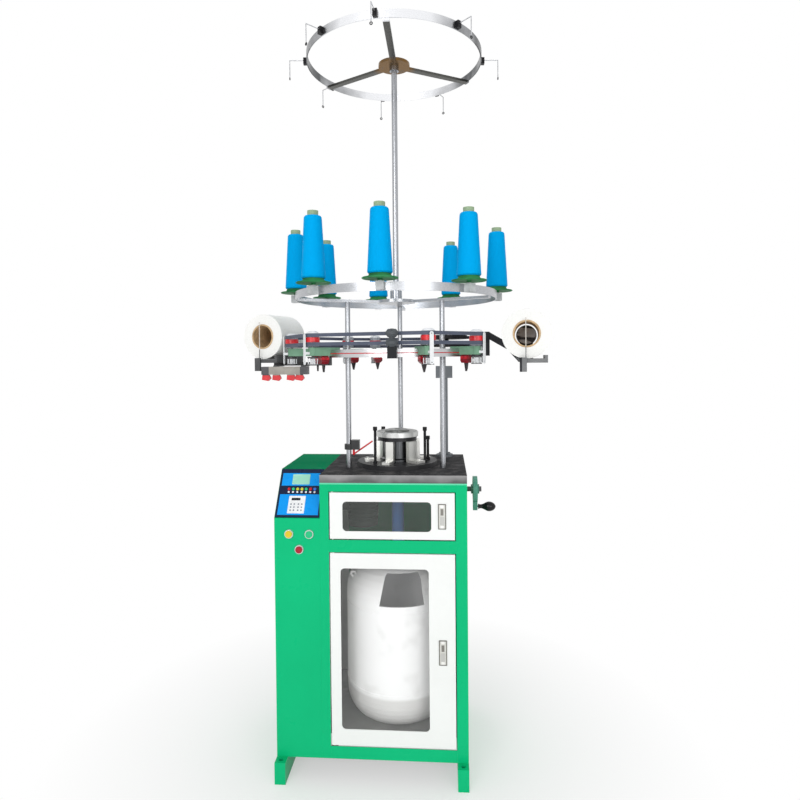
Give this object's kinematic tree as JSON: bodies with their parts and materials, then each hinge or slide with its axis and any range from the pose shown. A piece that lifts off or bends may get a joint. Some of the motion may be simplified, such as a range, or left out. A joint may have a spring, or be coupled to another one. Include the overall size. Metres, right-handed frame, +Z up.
{
  "type": "hair tie making machine",
  "caption": "Circular knitting machine for hair ties: slotted needle cylinder on a cabinet with doors and control panel, belt-driven yarn feeders, cone creel and overhead yarn ring.",
  "frame": {"origin": "on the floor at the centre of the four floor bolt holes in the foot rails", "axes": "+Z up, +X to the crank's side, -Y to the front with the doors"},
  "size_m": [1.0578, 0.7841, 2.327],
  "materials": {
    "emerald_paint": "gloss",
    "dark_green_paint": "gloss",
    "white_paint": "gloss",
    "table_paint": "satin",
    "black_paint": "satin",
    "grey_paint": "satin",
    "sage_paint": "satin",
    "teal_paint": "gloss",
    "steel": "brushed",
    "bright_metal": "polished",
    "light_alloy": "satin",
    "dark_steel": "satin",
    "belt_rubber": "matte",
    "red_plastic": "gloss",
    "dark_red_plastic": "satin",
    "blue_yarn": "soft",
    "white_elastic": "soft",
    "cardboard": "matte",
    "pale_green_plastic": "satin",
    "white_plastic": "satin",
    "black_plastic": "gloss",
    "blue_plastic": "gloss",
    "panel_film": "satin",
    "yellow_plastic": "gloss",
    "green_plastic": "gloss",
    "clear_pane": "clear"
  },
  "bodies": {
    "machine": {"foot_rails": "emerald_paint", "cabinet_shell": "emerald_paint", "rear_covers": "emerald_paint", "control_box_cover": "dark_green_paint", "control_panel": "panel_film", "button_bezels": "bright_metal", "barrel": "white_plastic", "chute_tube": "blue_plastic", "table_plate": "table_paint", "gear_case": "grey_paint", "drive_motor": "grey_paint", "pillars": "steel", "creel_frame": "steel", "cone_holders": "dark_green_paint", "cone_tubes": "pale_green_plastic", "yarn_cones": "blue_yarn", "mast": "steel", "top_ring": "steel", "guide_hooks": "dark_steel", "feeder_ring": "steel", "upper_belt": "belt_rubber", "lower_belt": "belt_rubber", "feeder_housings": "sage_paint", "stop_motions": "dark_red_plastic", "feeder_guides": "white_plastic", "tension_bracket": "black_paint", "roll_brackets": "grey_paint", "elastic_rolls": "white_elastic", "roll_cores": "cardboard", "yarn_detectors": "grey_paint", "head_base": "black_paint", "cam_ring": "light_alloy", "head_brackets": "light_alloy", "head_posts": "black_paint", "drive_column": "grey_paint", "air_valve": "black_plastic"},
    "needle_body": {"needle_cylinder": "dark_steel"},
    "belt_drive_body": {"belt_drive_shaft": "black_paint"},
    "tension_body": {"tension_pulley": "belt_rubber"},
    "crank_body": {"crank_wheel": "teal_paint"},
    "grip_body": {"crank_grip": "black_plastic"},
    "upper_door_body": {"upper_door": "white_paint", "upper_window": "clear_pane", "upper_latch": "bright_metal"},
    "upper_latch_body": {"upper_latch_button": "dark_steel"},
    "lower_door_body": {"lower_door": "white_paint", "lower_window": "clear_pane", "lower_latch": "bright_metal"},
    "lower_latch_body": {"lower_latch_button": "dark_steel"},
    "yellow_body": {"yellow_button": "yellow_plastic"},
    "green_body": {"green_button": "green_plastic"},
    "red_body": {"red_button": "red_plastic"},
    "rotor_1_body": {"feeder_rotor_1": "red_plastic"},
    "rotor_2_body": {"feeder_rotor_2": "red_plastic"},
    "rotor_3_body": {"feeder_rotor_3": "red_plastic"},
    "rotor_4_body": {"feeder_rotor_4": "red_plastic"},
    "rotor_5_body": {"feeder_rotor_5": "red_plastic"},
    "rotor_6_body": {"feeder_rotor_6": "red_plastic"},
    "rotor_7_body": {"feeder_rotor_7": "red_plastic"},
    "rotor_8_body": {"feeder_rotor_8": "red_plastic"}
  },
  "joints": [
    {"name": "needle_spin", "type": "hinge", "parent": "machine", "child": "needle_body", "pos_m": [0.072, 0, 1], "axis": [0, 0, 1], "continuous": true},
    {"name": "belt_drive_spin", "type": "hinge", "parent": "machine", "child": "belt_drive_body", "pos_m": [0.232, 0.165, 1.264], "axis": [0, 0, 1], "continuous": true},
    {"name": "rotor_1_spin", "type": "hinge", "parent": "machine", "child": "rotor_1_body", "pos_m": [-0.288, 0, 1.339], "axis": [0, 0, 1], "continuous": true},
    {"name": "rotor_2_spin", "type": "hinge", "parent": "machine", "child": "rotor_2_body", "pos_m": [-0.17718, -0.18104, 1.339], "axis": [0, 0, 1], "continuous": true},
    {"name": "rotor_3_spin", "type": "hinge", "parent": "machine", "child": "rotor_3_body", "pos_m": [0.18738, -0.28557, 1.339], "axis": [0, 0, 1], "continuous": true},
    {"name": "rotor_4_spin", "type": "hinge", "parent": "machine", "child": "rotor_4_body", "pos_m": [0.3332, -0.16322, 1.339], "axis": [0, 0, 1], "continuous": true},
    {"name": "rotor_5_spin", "type": "hinge", "parent": "machine", "child": "rotor_5_body", "pos_m": [0.34643, 0.13983, 1.339], "axis": [0, 0, 1], "continuous": true},
    {"name": "rotor_6_spin", "type": "hinge", "parent": "machine", "child": "rotor_6_body", "pos_m": [0.17227, 0.29122, 1.339], "axis": [0, 0, 1], "continuous": true},
    {"name": "rotor_7_spin", "type": "hinge", "parent": "machine", "child": "rotor_7_body", "pos_m": [-0.03334, 0.28943, 1.339], "axis": [0, 0, 1], "continuous": true},
    {"name": "rotor_8_spin", "type": "hinge", "parent": "machine", "child": "rotor_8_body", "pos_m": [-0.13007, 0.23245, 1.339], "axis": [0, 0, 1], "continuous": true},
    {"name": "tension_spin", "type": "hinge", "parent": "machine", "child": "tension_body", "pos_m": [0.08204, -0.29875, 1.376], "axis": [0, 0, 1], "continuous": true},
    {"name": "crank_turn", "type": "hinge", "parent": "machine", "child": "crank_body", "pos_m": [0.3, -0.1, 0.894], "axis": [1, 0, 0], "continuous": true},
    {"name": "grip_spin", "type": "hinge", "parent": "crank_body", "child": "grip_body", "pos_m": [0.34, -0.1, 0.838], "axis": [1, 0, 0], "continuous": true},
    {"name": "upper_door_swing", "type": "hinge", "parent": "machine", "child": "upper_door_body", "pos_m": [-0.117, -0.198, 0.83], "axis": [0, 0, -1], "range_deg": [0, 110]},
    {"name": "lower_door_swing", "type": "hinge", "parent": "machine", "child": "lower_door_body", "pos_m": [-0.117, -0.198, 0.411], "axis": [0, 0, -1], "range_deg": [0, 110]},
    {"name": "upper_latch_press", "type": "slide", "parent": "upper_door_body", "child": "upper_latch_body", "axis": [0, 1, 0], "range_m": [0, 0.003], "stiffness_N_per_m": 300},
    {"name": "lower_latch_press", "type": "slide", "parent": "lower_door_body", "child": "lower_latch_body", "axis": [0, 1, 0], "range_m": [0, 0.003], "stiffness_N_per_m": 300},
    {"name": "yellow_press", "type": "slide", "parent": "machine", "child": "yellow_body", "axis": [0, 1, 0], "range_m": [0, 0.004], "stiffness_N_per_m": 300},
    {"name": "green_press", "type": "slide", "parent": "machine", "child": "green_body", "axis": [0, 1, 0], "range_m": [0, 0.004], "stiffness_N_per_m": 300},
    {"name": "red_press", "type": "slide", "parent": "machine", "child": "red_body", "axis": [0, 1, 0], "range_m": [0, 0.004], "stiffness_N_per_m": 300}
  ],
  "couplings": [
    {"joint": "crank_turn", "follows": "needle_spin", "ratio": 1},
    {"joint": "belt_drive_spin", "follows": "needle_spin", "ratio": 0.5},
    {"joint": "tension_spin", "follows": "needle_spin", "ratio": -2.2368},
    {"joint": "rotor_1_spin", "follows": "needle_spin", "ratio": 2.0732},
    {"joint": "rotor_2_spin", "follows": "needle_spin", "ratio": 2.0732},
    {"joint": "rotor_3_spin", "follows": "needle_spin", "ratio": 2.0732},
    {"joint": "rotor_4_spin", "follows": "needle_spin", "ratio": 2.0732},
    {"joint": "rotor_5_spin", "follows": "needle_spin", "ratio": 2.0732},
    {"joint": "rotor_6_spin", "follows": "needle_spin", "ratio": 2.0732},
    {"joint": "rotor_7_spin", "follows": "needle_spin", "ratio": 2.0732},
    {"joint": "rotor_8_spin", "follows": "needle_spin", "ratio": 2.0732}
  ]
}
